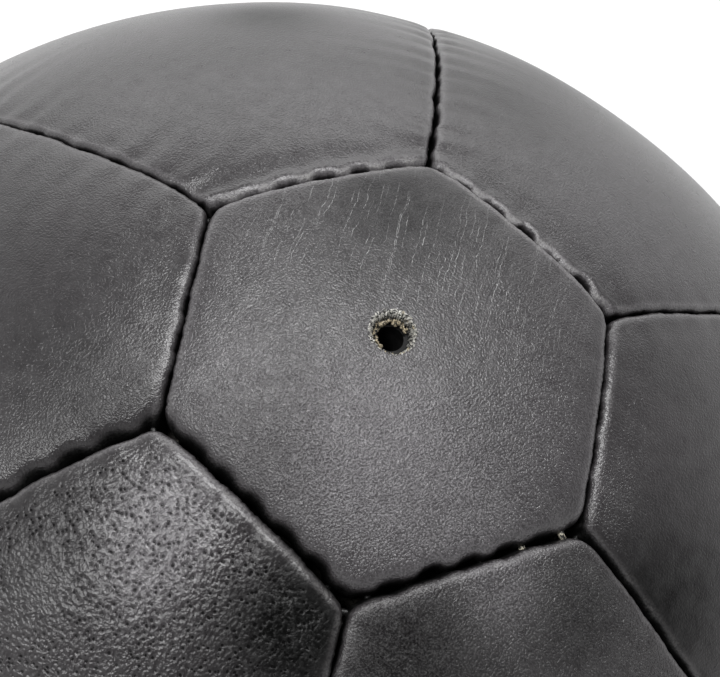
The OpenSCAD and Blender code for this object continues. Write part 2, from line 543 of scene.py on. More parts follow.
class Signal:
    """A value on its way through a node tree, whose arithmetic adds Math nodes."""

    def __init__(self, board: "NodeBoard", socket: bpy.types.NodeSocket) -> None:
        """Hold the output socket that carries the value."""
        self.board, self.socket = board, socket

    def __add__(self, other: "Value") -> "Signal":
        """The sum of two values."""
        return self.board.calc("ADD", self, other)

    def __sub__(self, other: "Value") -> "Signal":
        """This value less another."""
        return self.board.calc("SUBTRACT", self, other)

    def __rsub__(self, other: float) -> "Signal":
        """A number less this value."""
        return self.board.calc("SUBTRACT", other, self)

    def __mul__(self, other: "Value") -> "Signal":
        """The product of two values."""
        return self.board.calc("MULTIPLY", self, other)

    def at_least(self, other: "Value") -> "Signal":
        """The larger of two values."""
        return self.board.calc("MAXIMUM", self, other)


Value = Signal | float | tuple[float, ...]


class NodeBoard:
    """A node tree, with short ways to add and join its nodes."""

    def __init__(self, tree: bpy.types.NodeTree) -> None:
        """Work on a tree."""
        self.tree = tree

    def feed(self, socket: bpy.types.NodeSocket, value: Value) -> None:
        """Join a value to an input, or set the input to a plain number, colour or vector.

        Args:
            socket: the input.
            value: what goes into it.
        """
        if isinstance(value, Signal):
            self.tree.links.new(value.socket, socket)
        else:
            socket.default_value = value

    def add(self, kind: str, output: str | int, inputs: dict[str | int, Value], **settings: str) -> Signal:
        """Add a node, set it up and feed its inputs.

        Args:
            kind: the node's type.
            output: name or number of the output that is wanted.
            inputs: what feeds each input, by the input's name or number.
            **settings: the node's own properties.

        Returns:
            The value at that output.
        """
        node = self.tree.nodes.new(kind)
        for name, setting in settings.items():
            setattr(node, name, setting)
        for name, value in inputs.items():
            self.feed(node.inputs[name], value)
        return Signal(self, node.outputs[output])

    def calc(self, operation: str, a: Value, b: Value) -> Signal:
        """The result of a Math node."""
        return self.add("ShaderNodeMath", 0, {0: a, 1: b}, operation=operation)

    def step(
        self, value: Signal, low: float, high: float, to_low: float = 0.0, to_high: float = 1.0
    ) -> Signal:
        """A smooth step between two results, as the value goes from low to high."""
        inputs = {"Value": value, "From Min": low, "From Max": high, "To Min": to_low, "To Max": to_high}
        return self.add("ShaderNodeMapRange", "Result", inputs, interpolation_type="SMOOTHSTEP")

    def blend(self, share: Signal, a: Value, b: Value) -> Signal:
        """A mix of two colours, with the share of the second."""
        return self.add("ShaderNodeMix", 2, {0: share, 6: a, 7: b}, data_type="RGBA")

    def attribute(self, name: str) -> Signal:
        """A number stored on the mesh."""
        return self.add("ShaderNodeAttribute", "Fac", {}, attribute_name=name)

    def place(self, turn: Triple = (0, 0, 0), stretch: Triple = (1, 1, 1)) -> Signal:
        """Object coordinates in millimetres.

        Args:
            turn: rotation in radians.
            stretch: stretch along the turned axes.

        Returns:
            The coordinates, turned and stretched.
        """
        here = self.add("ShaderNodeTexCoord", "Object", {})
        inputs = {"Vector": here, "Rotation": turn, "Scale": (1 / MM,) * 3}
        turned = self.add("ShaderNodeMapping", 0, inputs, vector_type="POINT")
        return self.add("ShaderNodeVectorMath", 0, {0: turned, 1: stretch}, operation="MULTIPLY")

    def length(self, where: Signal) -> Signal:
        """The coordinates' distance from the origin."""
        return self.add("ShaderNodeVectorMath", "Value", {0: where}, operation="LENGTH")

    def axis(self, where: Signal, name: str) -> Signal:
        """One of three coordinates."""
        return self.add("ShaderNodeSeparateXYZ", name, {0: where})

    def noise(
        self, where: Signal, scale: float, detail: float = 2.0, rough: float = 0.5, bend: float = 0.0
    ) -> Signal:
        """A noise from 0 to 1: waves per millimetre, number of finer layers, strength and distortion."""
        inputs = {"Vector": where, "Scale": scale, "Detail": detail, "Roughness": rough, "Distortion": bend}
        return self.add("ShaderNodeTexNoise", "Fac", inputs)

    def cells(self, where: Signal, scale: float, random: float = 1.0) -> Signal:
        """Distance to the middle of the nearest cell, for cells per millimetre and how irregular they are."""
        inputs = {"Vector": where, "Scale": scale, "Randomness": random}
        return self.add("ShaderNodeTexVoronoi", "Distance", inputs, feature="F1")

    def swirl(self, where: Signal, scale: float, reach: float) -> Signal:
        """Coordinates bent by a noise, by its waves per millimetre and its reach in millimetres."""
        noise = self.add("ShaderNodeTexNoise", "Color", {"Vector": where, "Scale": scale, "Detail": 1.0})
        return self.add("ShaderNodeVectorMath", 0, {0: noise, 1: (2 * reach,) * 3, 2: where},
                        operation="MULTIPLY_ADD")

    def lines(self, turn: float, spacing: float, meander: float) -> Signal:
        """Distance to the nearest of many unevenly spaced, meandering lines.

        Args:
            turn: direction of the lines around the valve axis, in radians.
            spacing: average space between the lines, in millimetres.
            meander: how far the lines stray, in millimetres.

        Returns:
            The distance, in millimetres.
        """
        slow = self.swirl(self.place((0, 0, math.pi / 2 - turn)), 0.16, meander)
        inputs = {"Scale": 1 / spacing, "W": self.axis(self.swirl(slow, 0.9, meander / 4), "X")}
        return self.add("ShaderNodeTexVoronoi", "Distance", inputs, voronoi_dimensions="1D") * spacing


class FinishBoard(NodeBoard):
    """The node tree of a new material with one Principled shader."""

    def __init__(self, name: str) -> None:
        """Start the material.

        Args:
            name: the material's name.
        """
        self.material = bpy.data.materials.new(name)
        self.material.use_nodes = True
        super().__init__(self.material.node_tree)
        self.tree.nodes.clear()
        output = self.tree.nodes.new("ShaderNodeOutputMaterial")
        self.shader = self.tree.nodes.new("ShaderNodeBsdfPrincipled")
        self.tree.links.new(self.shader.outputs[0], output.inputs["Surface"])

    def emboss(self, height: Signal) -> None:
        """Use a height in millimetres as the shader's bump."""
        bump = self.add("ShaderNodeBump", "Normal", {"Strength": 1.0, "Distance": MM, "Height": height})
        self.feed(self.shader.inputs["Normal"], bump)

    def dress(self, **values: Value) -> Material:
        """Set the shader's sockets by name.

        Args:
            **values: socket names with underscores for spaces, and their values.

        Returns:
            The finished material.
        """
        for name, value in values.items():
            self.feed(self.shader.inputs[name.replace("_", " ")], value)
        return self.material


# Finishes


@dataclass(frozen=True)
class GrainHeights:
    """Heights of the leather's grain in millimetres, where its features are at their full amounts."""

    pebble: float = 0.32
    pebble_least: float = 0.05
    knob: float = 0.12
    knob_least: float = 0.03
    crumple: float = 0.55
    crumple_from: float = 0.8
    streak: float = 0.22
    pit: float = 0.06
    dimple: float = 0.09
    fuzz: float = 0.16


@dataclass(frozen=True)
class LeatherFinish:
    """Black cowhide: fine pebbled grain, pores, hairlines and worn ridges, with painted highlights in grey
    and painted shade in black.
    """

    dark: Colour = (0.0222, 0.0198, 0.0214, 1)
    light: Colour = (0.0340, 0.0305, 0.0328, 1)
    painted_highlight: Colour = (0.116, 0.109, 0.116, 1)
    black: Colour = (0.004, 0.004, 0.004, 1)
    worn: Colour = (0.22, 0.215, 0.21, 1)
    hairline: Colour = (0.36, 0.36, 0.36, 1)
    roughness: float = 0.29
    gloss: float = 0.80
    least_gloss: float = 0.02
    heights: GrainHeights = GrainHeights()

    def scratches(self, board: FinishBoard, here: Signal) -> Signal:
        """Thin, broken, meandering scratches.

        Args:
            board: the leather's nodes.
            here: coordinates in millimetres.

        Returns:
            1 on a scratch, 0 elsewhere.
        """
        thin = board.step(board.lines(math.radians(115), 1.15, 0.9), 0.015, 0.06, 1.0, 0.0)
        lengths = board.noise(board.place((0, 0, math.radians(-25)), (0.8, 0.10, 0.2)), 1.0, 1.0)
        broken = board.step(board.noise(here, 1.3, 3.0, 0.7), 0.38, 0.60)
        return thin * (broken * board.step(lengths, 0.44, 0.56))

    def material(self) -> Material:
        """Build the leather's node tree.

        Returns:
            The material.
        """
        board, high = FinishBoard("leather_black"), self.heights
        here = board.place()
        bent = board.swirl(here, 0.35, 0.5)
        names = ("pebble", "pores", "grain", "hairline", "wear", "bloom_and_painted_light")
        pebbly, pores, grain, lines, wear, bloom_and_painted_light = (board.attribute(name) for name in names)

        tone = board.noise(here, 0.045, 3.0, 0.6)
        patch = board.noise(here, 0.35, 3.0, 0.6)
        fuzz = board.noise(here, 2.6, 3.0, 0.7)
        pebble = board.noise(here, 3.2, 1.0, 0.5)
        knobs = board.noise(bent, 2.0, 1.0, 0.4)
        crumple = board.noise(bent, 1.2, 2.0, 0.5)
        streak = board.noise(board.place((0, 0, math.radians(-75)), (0.55, 2.1, 1.2)), 1.0, 3.0, 0.65, 0.3)
        cell = board.cells(bent, 1.1, 0.85)
        dimple = board.step(cell, 0.15, 0.62, 1.0, 0.0)
        deep = board.step(cell, 0.19, 0.30, 1.0, 0.0) * board.step(pores, 0.35, 0.9)
        speck = board.step(board.cells(bent, 0.95), 0.05, 0.12, 1.0, 0.0)
        pits = deep.at_least(speck * board.step(pores, 0.04, 0.4))

        height = pebble * (pebbly * high.pebble + high.pebble_least)
        height = height + knobs * (pores * high.knob + high.knob_least)
        height = height + crumple * ((pebbly - high.crumple_from).at_least(0.0) * high.crumple)
        height = height + streak * (grain * high.streak)
        height = height - pits * high.pit - dimple * (pores * high.dimple)
        board.emboss(height + fuzz * (wear * high.fuzz))

        crest = board.step((knobs - pebble) * board.step(pores, 0.2, 0.9) + pebble, 0.40, 0.60)
        valley = 1.0 - crest
        # Painted highlight: the bloom amount above nought greys the leather, more on the pebbles' crests.
        painted_highlight_share = bloom_and_painted_light.at_least(0.0) * (crest + 0.5)
        # Painted shade: the bloom amount below nought blends the colour to black; it also roughens the
        # leather and lowers its gloss.
        painted_shade_and_dull = (bloom_and_painted_light * -1.0).at_least(0.0)
        rub = wear * board.step(fuzz, 0.38, 0.62)
        colour = board.blend(board.step(tone, 0.3, 0.7), self.dark, self.light)
        colour = board.blend(painted_highlight_share, colour, self.painted_highlight)
        # Painted shade in the grain's hollows, on pebbled leather.
        colour = board.blend(valley * (pebbly * 0.2), colour, self.black)
        colour = board.blend(painted_shade_and_dull, colour, self.black)
        colour = board.blend(pits * 0.7, colour, self.black)
        colour = board.blend(rub, colour, self.worn)
        colour = board.blend(self.scratches(board, here) * lines, colour, self.hairline)

        rough = patch * 0.10 + (self.roughness - 0.05) + rub * 0.25 + painted_shade_and_dull * 0.15
        cavity = valley * pebbly.at_least(pores)
        gloss = (patch * 0.9 + 0.55) * self.gloss - painted_shade_and_dull * 0.5 - cavity * 0.25 - pits * 0.5
        return board.dress(Base_Color=colour, Roughness=rough, IOR=1.5,
                           Specular_IOR_Level=gloss.at_least(self.least_gloss))


@dataclass(frozen=True)
class RawEdgeFinish:
    """Cut leather: crumbly and damp-looking, whitish to golden with black pits."""

    white: Colour = (0.92, 0.90, 0.84, 1)
    golden: Colour = (0.66, 0.57, 0.40, 1)
    pitted: Colour = WAX

    def material(self) -> Material:
        """Build the cut edge's node tree.

        Returns:
            The material.
        """
        board = FinishBoard("leather_cut_edge")
        here = board.place()
        lump = board.noise(here, 2.0, 3.0, 0.7, 0.5)
        tint = board.noise(here, 0.7, 1.0) + (board.attribute("golden") * 0.5 - 0.25)
        board.emboss(lump * 0.9)
        colour = board.blend(board.step(tint, 0.42, 0.58), self.white, self.golden)
        colour = board.blend(board.step(lump, 0.43, 0.52), self.pitted, colour)
        return board.dress(Base_Color=colour, Roughness=0.38)


@dataclass(frozen=True)
class ThreadFinish:
    """Waxed thread: black, paler plies where the wax has rubbed off, pale bare cotton on loose stitches that
    also stands for a painted glint.
    """

    black: Colour = (0.012, 0.012, 0.012, 1)
    rubbed: Colour = (0.20, 0.17, 0.11, 1)
    bare_and_glint: Colour = (0.44, 0.41, 0.33, 1)

    def material(self) -> Material:
        """Build the thread's node tree.

        Returns:
            The material.
        """
        board = FinishBoard("thread_waxed")
        here = board.place()
        rub = board.step(board.noise(here, 0.16, 2.0, 0.6), 0.60, 0.70)
        fluff = board.noise(here, 2.5, 2.0, 0.6)
        colour = board.blend(rub * fluff, self.black, self.rubbed)
        # Painted glint, partly bare cotton: the loose stitches go pale.
        colour = board.blend(board.attribute("pale") * board.step(fluff, 0.47, 0.57), colour, self.bare_and_glint)
        board.emboss(fluff * 0.08)
        return board.dress(Base_Color=colour, Roughness=0.42)


@dataclass(frozen=True)
class RubberFinish:
    """Moulded rubber with a faint bloom."""

    name: str
    colour: Colour
    bloom_and_painted_light: Colour
    roughness: float
    gloss: float = 0.5

    def material(self) -> Material:
        """Build the rubber's node tree.

        Returns:
            The material.
        """
        board = FinishBoard(self.name)
        here = board.place()
        cloud = board.noise(here, 0.4, 3.0, 0.6)
        colour = board.blend(board.step(cloud, 0.42, 0.75), self.colour, self.bloom_and_painted_light)
        board.emboss(board.noise(here, 1.6, 2.0) * 0.04)
        rough = cloud * 0.15 + (self.roughness - 0.07)
        return board.dress(Base_Color=colour, Roughness=rough, Specular_IOR_Level=self.gloss)


@dataclass(frozen=True)
class ClothFinish:
    """Plain woven cotton behind the leather, stained with black wax along the seams, a stain that also stands
    for painted shade where the cloth shows in the seams' gaps.
    """

    warp: Colour = (0.58, 0.50, 0.38, 1)
    weft: Colour = (0.44, 0.37, 0.27, 1)
    waxed: Colour = WAX

    def material(self) -> Material:
        """Build the cloth's node tree.

        Returns:
            The material.
        """
        board = FinishBoard("lining_cotton")
        weave = []
        for turn in (0.0, math.pi / 2):
            inputs = {"Vector": board.place((0.3, 0.2, turn)), "Scale": 0.32, "Distortion": 0.6}
            weave.append(board.add("ShaderNodeTexWave", "Fac", inputs))
        over = weave[0].at_least(weave[1])
        board.emboss(over * 0.2)
        colour = board.blend(board.attribute("stain_and_shade"), board.blend(over, self.weft, self.warp), self.waxed)
        return board.dress(Base_Color=colour, Roughness=0.95)


@dataclass(frozen=True)
class FeltFinish:
    """Dense grey-brown felt, stained with black wax along the seams, a stain that also stands for painted
    shade where the felt shows in the seams' gaps.
    """

    light: Colour = (0.44, 0.40, 0.35, 1)
    dark: Colour = (0.25, 0.23, 0.20, 1)
    waxed: Colour = WAX

    def material(self) -> Material:
        """Build the felt's node tree.

        Returns:
            The material.
        """
        board = FinishBoard("wadding_felt")
        fibre = board.noise(board.place(), 1.1, 4.0, 0.7, 1.2)
        board.emboss(fibre * 0.5)
        colour = board.blend(board.step(fibre, 0.35, 0.65), self.dark, self.light)
        stained = board.blend(board.attribute("stain_and_shade"), colour, self.waxed)
        return board.dress(Base_Color=stained, Roughness=1.0)


# Leather panels


@dataclass(frozen=True)
class Patch:
    """A round area of the leather with more or less of a feature: angles in degrees, reach in millimetres."""

    polar: float
    azimuth: float
    reach: float
    amount: float

    def spread(self, unit: Array) -> Array:
        """The patch's amount at each direction, fading with distance.

        Args:
            unit: unit vectors, one row each.

        Returns:
            The amounts.
        """
        middle = direction(math.radians(self.polar), math.radians(self.azimuth))
        off = SIZES.radius * np.arccos(np.clip(unit @ middle, -1, 1))
        return self.amount * bell(off, self.reach)


@dataclass(frozen=True)
class HideLook:
    """How much of each feature a panel's piece of hide has, overall and in patches; the bloom amount is
    painted light, a painted highlight above nought and a painted shade below it.
    """

    pebble: float = 0.3
    pores: float = 0.08
    grain: float = 0.08
    hairline: float = 0.0
    swell: float = 0.13
    bloom_and_painted_light: float = 0.0
    pebble_patches: tuple[Patch, ...] = ()
    pore_patches: tuple[Patch, ...] = ()
    grain_patches: tuple[Patch, ...] = ()
    hairline_patches: tuple[Patch, ...] = ()
    painted_light_patches: tuple[Patch, ...] = ()

    LIMITS = (-1.0, 1.5)

    def amounts(self, unit: Array) -> dict[str, Array]:
        """The amount of each feature that the finish reads, within the limits.

        Args:
            unit: unit vectors, one row each.

        Returns:
            The amounts at each direction, by the feature's name.
        """
        features = {
            "pebble": (self.pebble, self.pebble_patches),
            "pores": (self.pores, self.pore_patches),
            "grain": (self.grain, self.grain_patches),
            "hairline": (self.hairline, self.hairline_patches),
            "bloom_and_painted_light": (self.bloom_and_painted_light, self.painted_light_patches),
        }
        found = {}
        for name, (base, patches) in features.items():
            amount = np.full(len(unit), base)
            for patch in patches:
                amount += patch.spread(unit)
            found[name] = np.clip(amount, *self.LIMITS)
        return found


@dataclass(frozen=True)
class PullShape:
    """How far the stitches, the seams' edges and the corners shape the leather, in millimetres and shares."""

    scallop_even: float = 0.35
    scallop_width: float = 1.9
    lip_at: float = 4.2
    lip_width: float = 1.9
    groove_at: float = 1.7
    groove_width: float = 1.0
    groove_share: float = 1.4
    dimple_width: float = 1.5
    reach: float = 2.2
    pucker_change: float = 0.5
    pucker_lengths: Pair = (14.0, 31.0)
    pucker_least: float = 2.0
    pucker_from: Pair = (0.5, 3.0)
    rub_width: float = 2.0
    rub_least: float = 0.3
    rub_pull: float = 0.8
    ridge_at: float = 0.35
    ridge_roll: float = 0.6
    ridge_most: float = 1.2
    ridge_width: float = 0.55
    highlight_width: float = 0.5
    highlight_share: float = 1.8
    corner_dip: float = 0.7
    corner_dip_reach: float = 2.4
    corner_gap: float = 0.75
    corner_gap_reach: float = 1.5
    swell_lengths: Triple = (40.0, 62.0, 95.0)
    swell_from: Pair = (2.0, 16.0)
    swell_even: float = 0.4
    grain_from: Pair = (1.2, 4.0)
    pebble_edge: float = 0.4
    pores_edge: float = 0.2
    # Painted shade in the seam creases, with some wax grime.
    grime_and_shade_from: Pair = (0.3, 1.1)
    grime_and_shade_share: float = 1.3


PULL = PullShape()


@dataclass
class LeatherPanel:
    """One leather panel, puffed between its seams and rolled in along them."""

    node: str
    sides: list[tuple[Seam, int]]
    hide: HideLook
    seed: int
    cut: HandCut

    EDGE_STEPS = np.array((0.0, 0.03, 0.1, 0.2, 0.35, 0.55, 0.8, 1.1, 1.5, 2.0, 2.6, 3.3, 4.2, 5.2, 6.4))

    def sheet(self) -> tuple[Mesh, Array]:
        """Make the flat sheet and the direction of each of its vertices.

        Returns:
            The mesh, and a unit vector for each vertex.
        """
        raise NotImplementedError

    def relief(self, unit: Array) -> tuple[Array, dict[str, Array]]:
        """Shape the panel: the puffed middle, the rolled edges and the pull of the stitches.

        Args:
            unit: a unit vector for each vertex.

        Returns:
            The vertices in millimetres, and the values that the finish reads.
        """
        rolled, sink, wear, pale = np.zeros((4, len(unit)))
        shift = np.zeros((len(unit), 3))
        reaches = []
        for seam, sign in self.sides:
            look, edge = seam.look, seam.edge(sign)
            s, across = seam.locate(unit)
            d = np.maximum(across * sign, 0.0)
            reaches.append(d)
            roll = edge.roll * (1 + edge.scallop * (PULL.scallop_even - seam.pinch(s, PULL.scallop_width)))
            lean = np.maximum(roll - d, 0.0)
            rolled += (roll - np.sqrt(np.maximum(roll**2 - lean**2, 0.0))) ** 2
            groove = PULL.groove_share * bell(d - PULL.groove_at, PULL.groove_width)
            sink += edge.dip * np.exp(-d / edge.reach)
            sink += edge.lip * (bell(d - PULL.lip_at, PULL.lip_width) - groove)
            sink += look.dimple * seam.pinch(s, PULL.dimple_width) * np.exp(-d / PULL.reach)
            off, number = seam.nearest(s)
            ripple = np.cos(2 * np.pi * off / seam.pitch) * seam.pull[number]
            uneven = PULL.pucker_change * Waves(seam.seed + self.seed, PULL.pucker_lengths).along(s)
            reach = np.maximum(look.pucker_reach * (1 + uneven), PULL.pucker_least)
            sink += look.pucker * ripple * (np.exp(-d / reach) * smooth(*PULL.pucker_from, d))
            open_by = seam.opening(s, sign) + sign * seam.wander(s)
            shift += (sign * open_by * np.exp(-d / PULL.reach))[:, None] * seam.normal
            rubbed = PULL.rub_least + PULL.rub_pull * seam.pinch(s, PULL.rub_width)
            ridge = PULL.ridge_at + PULL.ridge_roll * min(edge.roll, PULL.ridge_most)
            wear = np.maximum(wear, edge.worn * rubbed * bell(d - ridge, PULL.ridge_width))
            # Painted highlight along each edge's ridge, scaled by the edge's wear share.
            pale = np.maximum(pale, edge.worn * bell(d - ridge, PULL.highlight_width))
        order = np.argsort(np.stack(reaches), 0)
        nearest = np.sort(np.stack(reaches), 0)
        inward = np.array([seam.normal * sign for seam, sign in self.sides])
        inward = inward[order[0]] + inward[order[1]]
        corner = np.hypot(nearest[0], nearest[1])
        sink += PULL.corner_dip * np.exp(-corner / PULL.corner_dip_reach)
        spread = PULL.corner_gap * np.exp(-corner / PULL.corner_gap_reach)
        shift += (spread / np.linalg.norm(inward, axis=1))[:, None] * inward
        swell = Waves(self.seed, PULL.swell_lengths).through(unit * SIZES.radius)
        swell = swell * smooth(*PULL.swell_from, nearest[0])
        roll_depth, inside = np.sqrt(rolled), smooth(*PULL.grain_from, nearest[0])
        sink = sink + roll_depth - self.hide.swell * (swell - PULL.swell_even)
        points = self.cut.apply(unit * (SIZES.radius - sink)[:, None] + shift)
        features = self.hide.amounts(unit)
        features["pebble"] *= PULL.pebble_edge + (1 - PULL.pebble_edge) * inside
        features["pores"] *= PULL.pores_edge + (1 - PULL.pores_edge) * inside
        # Painted shade in the seam creases, with some wax grime: the deeper the roll, the blacker the
        # leather.
        features["bloom_and_painted_light"] += PULL.highlight_share * pale - PULL.grime_and_shade_share * smooth(*PULL.grime_and_shade_from, roll_depth)
        return points, features | {"wear": wear}

    def turn_in(self, mesh: Mesh) -> None:
        """Carry the rolled edges down into the seams.

        Args:
            mesh: the shaped panel.
        """
        bm = bmesh.new()
        bm.from_mesh(mesh)
        rim = [e for e in bm.edges if e.is_boundary and self.is_outer(e)]
        made = bmesh.ops.extrude_edge_only(bm, edges=rim)
        share = (SIZES.radius - SIZES.flange_depth) / (SIZES.radius - SIZES.roll)
        bmesh.ops.scale(bm, vec=Vector((share, share, share)), verts=only(made, bmesh.types.BMVert))
        self.finish_edges(bm)
        bm.to_mesh(mesh)
        bm.free()

    def is_outer(self, edge: bmesh.types.BMEdge) -> bool:
        """Whether a boundary edge lies in a seam."""
        return True

    def finish_edges(self, bm: bmesh.types.BMesh) -> None:
        """Finish any other edges of the panel; most have none."""

    def build(self, finishes: list[Material]) -> Object:
        """Args:
            finishes: the leather, and the finish of its cut edges.

        Returns:
            The panel's object.
        """
        mesh, unit = self.sheet()
        points, features = self.relief(unit)
        move_to(mesh, points)
        for name, values in features.items():
            store(mesh, name, values)
        for finish in finishes:
            mesh.materials.append(finish)
        self.turn_in(mesh)
        shade_smooth(mesh)
        mesh.update()
        piece = declare(mesh, self.node)
        return piece


@dataclass
class LongPanel(LeatherPanel):
    """A long panel between two end panels, with closer rows near the valve."""

    turn: float = 0.0
    columns: int = 120
    near_rows: int = 180
    far_rows: int = 130
    near_share: float = 0.36
    passes: int = 3

    def sheet(self) -> tuple[Mesh, Array]:
        """Make a grid and lay it out between the four seams.

        Returns:
            The mesh, and a unit vector for each vertex.
        """
        last = len(self.EDGE_STEPS)
        wide, tall = self.columns + 2 * last, self.near_rows + self.far_rows + 2 * last
        bm = bmesh.new()
        bmesh.ops.create_grid(bm, x_segments=wide - 1, y_segments=tall - 1, size=0.5)
        mesh = to_mesh(bm, f"{self.node}_leather")
        flat = places(mesh)
        column = np.rint((flat[:, 0] + 0.5) * (wide - 1)).astype(int)
        row = np.rint((0.5 - flat[:, 1]) * (tall - 1)).astype(int)

        across = np.linspace(0, 1, self.columns + 2)[1:-1]
        near = np.linspace(0, self.near_share, self.near_rows + 1)[1:]
        far = np.linspace(self.near_share, 1, self.far_rows + 2)[1:-1]
        down = np.concatenate([near, far])
        radius = SIZES.radius
        azimuth = column / (wide - 1) * SIXTH
        for _ in range(self.passes):
            top = np.arctan(math.tan(SIZES.edge_angle) / np.cos(azimuth - SIXTH / 2))
            polar = top + self.spread(row, down, radius * (math.pi - 2 * top)) / radius
            width = radius * np.sin(polar) * SIXTH
            azimuth = self.spread(column, across, width) / (radius * np.sin(polar))
        return mesh, direction(polar, azimuth + self.turn)

    def spread(self, number: Array, inner: Array, length: Array) -> Array:
        """Millimetres from the first edge for each row or column.

        Args:
            number: the row or column of each vertex.
            inner: shares of the length between the edges' own rows, for the other rows.
            length: the whole length at each vertex.

        Returns:
            A distance for each vertex.
        """
        steps = self.EDGE_STEPS
        last, count = len(steps), len(inner)
        first = steps[np.clip(number, 0, last - 1)]
        middle = steps[-1] + (length - 2 * steps[-1]) * inner[np.clip(number - last, 0, count - 1)]
        end = length - steps[np.clip(2 * last + count - 1 - number, 0, last - 1)]
        return np.where(number < last, first, np.where(number < last + count, middle, end))


@dataclass
class EndPanel(LeatherPanel):
    """A hexagonal end panel, with or without the punched valve hole."""

    up: int = 1
    hole: float = 0.0
    rings: int = 74
    steps_around: int = 432

    HOLE_WAVES = ((3, 0.07, 0.4), (8, 0.06, 1.1), (19, 0.05, 2.0), (37, 0.05, 0.2))
    HOLE_WALL = ((0.10, 0.12), (0.22, 0.5), (0.05, 0.9), (-0.1, 0.9))
    WALL_WAVES = ((0.16, 31, 0, 9), (0.12, 53, -5, 0))

    def sheet(self) -> tuple[Mesh, Array]:
        """Spin a row of points around the valve axis and lay it out to the hexagon's sides.

        Returns:
            The mesh, and a unit vector for each vertex.
        """
        steps = self.EDGE_STEPS
        count = self.rings + len(steps)
        bm = bmesh.new()
        first = 1 if self.hole else 0
        chain = [bm.verts.new((float(i), 0, 0)) for i in range(first, count + first)]
        links = [bm.edges.new(pair) for pair in zip(chain[:-1], chain[1:])]
        bmesh.ops.spin(
            bm, geom=chain + links, cent=(0, 0, 0), axis=(0, 0, 1), dvec=(0, 0, 0), angle=2 * math.pi,
            steps=self.steps_around, use_merge=True, use_duplicate=False,
        )
        bmesh.ops.remove_doubles(bm, verts=bm.verts, dist=1e-4)
        bmesh.ops.recalc_face_normals(bm, faces=bm.faces)
        bm.faces.ensure_lookup_table()
        if bm.faces[0].normal.z * self.up < 0:
            bmesh.ops.reverse_faces(bm, faces=bm.faces)
        mesh = to_mesh(bm, f"{self.node}_leather")
        flat = places(mesh).astype(float)
        ring = np.rint(np.hypot(flat[:, 0], flat[:, 1])).astype(int) - first
        azimuth = np.arctan2(flat[:, 1], flat[:, 0])
        side = np.floor(azimuth / SIXTH) * SIXTH + SIXTH / 2
        out = SIZES.radius * np.arctan(math.tan(SIZES.edge_angle) / np.cos(azimuth - side))
        start = self.hole_edge(azimuth) if self.hole else np.zeros_like(azimuth)
        inner = np.linspace(0, 1, self.rings + 1)[:-1]
        middle = start + (out - steps[-1] - start) * inner[np.clip(ring, 0, self.rings - 1)]
        outer = out - steps[::-1][np.clip(ring - self.rings, 0, len(steps) - 1)]
        polar = np.where(ring < self.rings, middle, outer) / SIZES.radius
        unit = direction(polar, azimuth)
        unit[:, 2] *= self.up
        return mesh, unit

    def hole_edge(self, azimuth: Array) -> Array:
        """The ragged outline of the punched hole, in millimetres from the axis."""
        return self.hole + sum(a * np.sin(n * azimuth + p) for n, a, p in self.HOLE_WAVES)

    def is_outer(self, edge: bmesh.types.BMEdge) -> bool:
        """Whether a boundary edge lies in a seam and not in the hole."""
        return edge.verts[0].co.xy.length > 3 * SIZES.hole_radius * MM

    def finish_edges(self, bm: bmesh.types.BMesh) -> None:
        """Give the hole its cut wall.

        Args:
            bm: the panel's mesh.
        """
        rim = [e for e in bm.edges if e.is_boundary and e.verts[0].co.xy.length < 2 * SIZES.hole_radius * MM]
        for inward, drop in self.HOLE_WALL if rim else ():
            made = bmesh.ops.extrude_edge_only(bm, edges=rim)
            rim = only(made, bmesh.types.BMEdge)
            for vert in only(made, bmesh.types.BMVert):
                reach = vert.co.xy.length
                turn = math.atan2(vert.co.y, vert.co.x)
                rough = sum(a * math.sin(n * turn + i * inward + d * drop) for a, n, i, d in self.WALL_WAVES)
                share = (reach - (inward + rough) * MM) / reach
                vert.co = Vector((vert.co.x * share, vert.co.y * share, vert.co.z - (drop + rough / 2) * MM))
            for face in only(made, bmesh.types.BMFace):
                face.material_index = 1


# Thread


